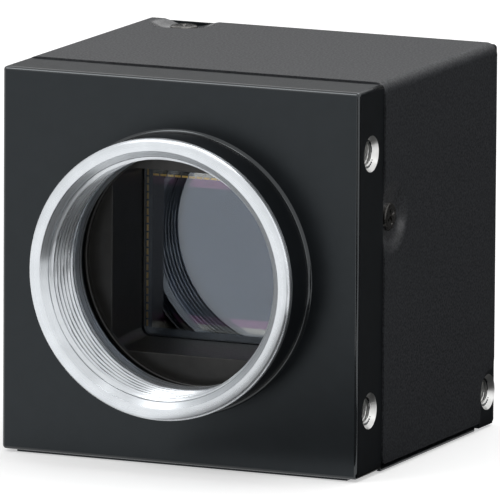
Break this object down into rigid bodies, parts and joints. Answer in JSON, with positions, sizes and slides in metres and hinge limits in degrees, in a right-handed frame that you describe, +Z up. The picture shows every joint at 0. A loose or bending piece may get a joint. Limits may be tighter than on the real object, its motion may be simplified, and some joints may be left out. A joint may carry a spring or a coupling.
{
  "type": "machine vision camera",
  "caption": "Cube-shaped industrial camera body with a C-mount lens ring, folded sheet cover and tapped mounting holes.",
  "frame": {"origin": "middle of the object's box in plan, on the underside of the base plate's pad", "axes": "the lens looks along -Y, +Y runs back along the optical axis, +Z is up"},
  "size_m": [0.0404, 0.0462, 0.0405],
  "materials": {
    "black_anodised": "smooth black anodised, semi-gloss",
    "bare_aluminium": "fine turned, bare",
    "black_moulding": "satin black moulding",
    "zinc_steel": "zinc plated",
    "black_rubber": "matt black",
    "window_glass": "polished, coated",
    "black_ceramic": "matt dark ceramic",
    "sensor_silicon": "mirror-like silicon",
    "circuit_board": "green solder mask",
    "spacer_brass": "nickel-free turned brass",
    "chip_moulding": "moulded chip package",
    "connector_moulding": "moulded insulator",
    "black_powder_coat": "fine textured powder coat",
    "black_steel": "black oxide",
    "bright_steel": "plated",
    "plated_shell": "satin plated",
    "gold_contact": "gold flash",
    "lamp_lens": "clear diffusing"
  },
  "bodies": {
    "root": {"front_block": "black_anodised", "lens_mount_ring": "bare_aluminium", "sensor_mask": "black_moulding", "mask_screws": "zinc_steel", "glass_gasket": "black_rubber", "cover_glass": "window_glass", "sensor_package": "black_ceramic", "sensor_die": "sensor_silicon", "sensor_board": "circuit_board", "front_spacers": "spacer_brass", "processor_board": "circuit_board", "processor_chip": "chip_moulding", "memory_chips": "chip_moulding", "board_links": "connector_moulding", "rear_spacers": "spacer_brass", "interface_board": "circuit_board", "interface_screws": "zinc_steel", "top_cover": "black_powder_coat", "cover_screws": "black_steel", "base_plate": "black_anodised", "base_screws": "black_steel", "rear_panel": "black_anodised", "data_socket": "bright_steel", "data_contacts": "connector_moulding", "io_shell": "plated_shell", "io_nut": "plated_shell", "io_insert": "connector_moulding", "io_pins": "gold_contact", "status_lamp": "lamp_lens"}
  },
  "joints": []
}
